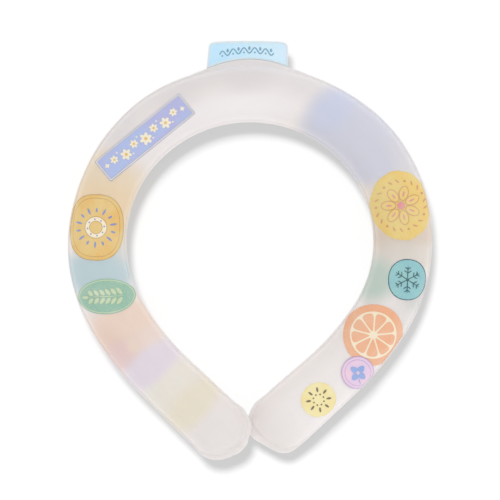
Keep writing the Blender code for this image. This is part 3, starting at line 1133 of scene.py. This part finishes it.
def round_corner(x, y, start, radius=TAB_CORNER):
    """Points of a quarter turn to the left round a middle."""
    angles = [radians(start + 90 * step / 8) for step in range(9)]
    return [(x + radius * cos(angle), y + radius * sin(angle)) for angle in angles]


def tab_outline():
    top = seam_arc(0.0, TAB_REACH)
    middle, half = (TAB_LEFT + TAB_RIGHT) / 2, (TAB_RIGHT - TAB_LEFT) / 2
    crown = lambda x: top - TAB_CROWN * ((x - middle) / half) ** 2
    root = [(x, seam_arc(x, ROOT_GAP)) for x in np.linspace(TAB_LEFT, TAB_RIGHT, 25)]
    left = TAB_LEFT + TAB_LEAN
    first = round_corner(TAB_RIGHT - TAB_CORNER, crown(TAB_RIGHT) - TAB_CORNER, 0)
    second = round_corner(left + TAB_CORNER, crown(left) - TAB_CORNER, 90)
    xs = np.linspace(first[-1][0], second[0][0], 21)[1:-1]
    return root + first + [(x, crown(x)) for x in xs] + second


def tongue_outline():
    xs = np.linspace(TAB_LEFT + TONGUE_INSET, TAB_RIGHT - TONGUE_INSET, 25)
    inside = [(x, seam_arc(x, -TONGUE_DEPTH)) for x in xs]
    return inside + [(x, seam_arc(x, TONGUE_BITE)) for x in xs[::-1]]


def draw_plate(outline, thickness):
    """A plate inside an outline, lying level with the seam."""
    draw_outline(outline, SEAM_HEIGHT - thickness / 2)
    bpy.ops.mesh.edge_face_add()
    bpy.ops.mesh.extrude_region_move(TRANSFORM_OT_translate={"value": (0, 0, thickness)})
    align_faces()
    enter("OBJECT")
    return bpy.context.object


def draw_tab():
    plate = draw_plate(tab_outline(), TAB_THICKNESS)
    soft = {"limit_method": "ANGLE", "angle_limit": radians(60)}
    add_modifier(plate, "BEVEL", width=TAB_ROUND, segments=4, **soft)
    apply_modifiers(plate)
    enter("EDIT")
    bpy.ops.mesh.select_mode(type="FACE")
    for up in (1, -1):
        bpy.ops.mesh.select_all(action="DESELECT")
        shape = bmesh.from_edit_mesh(plate.data)
        shape.faces.ensure_lookup_table()
        max(shape.faces, key=lambda face: up * face.normal.z * face.calc_area()).select = True
        bmesh.update_edit_mesh(plate.data)
        bpy.ops.mesh.inset(thickness=TAB_BORDER - TAB_ROUND)
        bpy.ops.mesh.inset(thickness=0.25 * MM, depth=-TAB_SINK)
    bpy.ops.mesh.select_mode(type="VERT")
    enter("OBJECT")
    made = join([plate, draw_plate(tongue_outline(), TONGUE_THICKNESS)], "tab")
    bpy.ops.object.shade_smooth_by_angle(angle=radians(35))
    return made


tab = draw_tab()
print("Tab, mm:", [round(1000 * side, 2) for side in tab.dimensions])

# %% Draw the tab's print
TAB_FACE = SEAM_HEIGHT + TAB_THICKNESS / 2 - TAB_SINK + 0.04 * MM
WAVE_START, WAVE_TURN, WAVE_COUNT = -14.6, 5.2, 5


def draw_stroke(path, width, height):
    """A line of ink along a path: a short edge, extruded from point to point."""
    deselect_all()
    bpy.ops.mesh.primitive_plane_add(size=MM)
    enter("EDIT")
    select_points(lambda place: place.x > 0)
    bpy.ops.mesh.delete(type="VERT")
    select_all()
    before = Vector((0, 1))
    for number, (x, y) in enumerate(path):
        ahead = Vector(path[min(number + 1, len(path) - 1)]) - Vector(path[max(number - 1, 0)])
        aside = Vector((-ahead.y, ahead.x)).normalized()
        if number:
            bpy.ops.mesh.extrude_region_move()
        order = lambda place, before=before: place.x * before.x + place.y * before.y
        middle, half = Vector((x, y, height)), aside.to_3d() * width / 2
        put_points(order, [middle - half, middle + half])
        before = aside
    align_faces()
    enter("OBJECT")
    face_outwards(bpy.context.object, 1)
    return bpy.context.object


def draw_tab_print():
    arc = lambda x: seam_arc(x, 4.4 * MM)
    xs = [(WAVE_START + WAVE_TURN * WAVE_COUNT * step / 120) * MM for step in range(121)]
    wave = [(x, arc(x) + 1.3 * MM * sin(2 * pi * (x / MM - WAVE_START) / WAVE_TURN)) for x in xs]
    pieces = [draw_stroke(wave, 0.62 * MM, TAB_FACE)]
    for step in range(WAVE_COUNT):
        x = (WAVE_START + WAVE_TURN * step + 3.9) * MM
        drop = blob(x, arc(x) + 1.05 * MM, 1.9 * MM, 1.2 * MM, 90, 16, point=0.7)
        pieces.append(draw_mark(drop, 2, TAB_FACE))
        x -= 2.6 * MM
        pieces.append(draw_mark(blob(x, arc(x) - 0.95 * MM, 0.9 * MM, 0.9 * MM, 0, 12), 2, TAB_FACE))
    made = join(pieces, "print_tab_wave")
    made.data.materials.append(INK["steel_blue"])
    return made


tab_print = draw_tab_print()
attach(tab_print, "root")

# %% Finish of the tab


def tab_finish():
    """Sky blue that pales to the right."""
    finish, tree, shader = new_finish(
        "tab_blue", Roughness=0.5, Subsurface_Weight=0.2, Subsurface_Scale=1.5 * MM, Specular_IOR_Level=0.35
    )
    here = places(tree)
    split = add_node(tree, "SeparateXYZ", Vector=here)
    across = remap(tree, split.outputs["X"], TAB_LEFT, TAB_RIGHT, kind="SMOOTHSTEP")
    blue = mix_colours(tree, across, linear(193, 231, 254), linear(212, 238, 255))
    hazy = remap(tree, noise(tree, here, 300.0).outputs["Fac"], 0.35, 0.75, 0.0, 0.12)
    feed(tree, shader.inputs["Base Color"], mix_colours(tree, hazy, blue, linear(236, 244, 248)))
    emboss(tree, shader, noise(tree, here, GRAIN, roughness=0.6), 0.15, GRAIN_DEPTH)
    return finish


def tab_rim_finish():
    """The milky welded border."""
    finish, tree, shader = new_finish(
        "tab_rim", Roughness=0.45, Subsurface_Weight=0.3, Subsurface_Scale=1.5 * MM
    )
    cloud = noise(tree, places(tree), 400.0)
    pale = mix_colours(tree, cloud.outputs["Fac"], linear(208, 224, 232), linear(222, 234, 240))
    feed(tree, shader.inputs["Base Color"], pale)
    return finish


tab.data.materials.append(tab_finish())
tab.data.materials.append(tab_rim_finish())
widest = sorted(tab.data.polygons, key=lambda face: face.area)[-2:]
for face in tab.data.polygons:
    face.material_index = 0 if face in widest else 1
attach(tab, "root")
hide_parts("back_tab")

# %% [markdown]
# ## The set
# The picture is a plain shop shot: the ring lies on a white ground in even light, with one soft shadow
# to the lower right. The ground glows a little so that it stays white. One sun casts the shadow on the
# ground alone, and a faint wide light from the right warms the outer side of the tube. The camera looks
# straight down from 1.5 m.

# %% Floor, world, lights and camera
FLOOR_SIZE = 8.0
CAMERA_HEIGHT = 1.5
PICTURE_WIDTH = 0.240
SENSOR_WIDTH = 36


def add_floor():
    deselect_all()
    bpy.ops.mesh.primitive_plane_add(size=FLOOR_SIZE, location=(0, 0, -0.02 * MM))
    floor = bpy.context.object
    floor.name = "floor"
    finish, _, _ = new_finish(
        "white_floor",
        Roughness=0.9,
        Base_Color=(0.18, 0.18, 0.18, 1),
        Emission_Color=(1, 1, 1, 1),
        Emission_Strength=0.47,
        Specular_IOR_Level=0.0,
    )
    floor.data.materials.append(finish)
    floor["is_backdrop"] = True
    return floor


floor = add_floor()
bpy.context.scene.view_settings.view_transform = "Standard"

world = bpy.data.worlds.new("white studio")
world.use_nodes = True
world.node_tree.nodes["Background"].inputs["Color"].default_value = (1, 1, 1, 1)
world.node_tree.nodes["Background"].inputs["Strength"].default_value = 0.98
bpy.context.scene.world = world


def add_sun(name, travel, energy, angle, floor_state):
    """A sun that lights the floor alone (INCLUDE), or everything but the floor (EXCLUDE)."""
    bpy.ops.object.light_add(type="SUN", location=(0, 0, 1))
    light = bpy.context.object
    light.name = name
    light.rotation_euler = Vector(travel).to_track_quat("-Z", "Y").to_euler()
    light.data.energy = energy
    light.data.angle = radians(angle)
    lit = bpy.data.collections.new(name)
    lit.objects.link(floor)
    lit.collection_objects[0].light_linking.link_state = floor_state
    light.light_linking.receiver_collection = lit


add_sun("shadow_sun", (2.3, -5.5, -12.5), 7.3, 15, "INCLUDE")
add_sun("side_sun", (-1.0, -0.1, -0.7), 0.22, 60, "EXCLUDE")

bpy.ops.object.camera_add(location=(0, 0.17 * MM, CAMERA_HEIGHT + SEAM_HEIGHT), rotation=(0, 0, 0))
camera = bpy.context.object
camera.data.sensor_width = SENSOR_WIDTH
camera.data.lens = SENSOR_WIDTH * CAMERA_HEIGHT / PICTURE_WIDTH
camera.data.clip_start, camera.data.clip_end = 0.1, 20
bpy.context.scene.camera = camera

bpy.data.objects.remove(centreline)

# %% [markdown]
# ## Measure
# The bounds of the finished pieces are measured.

# %% Measure and finish
low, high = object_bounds()
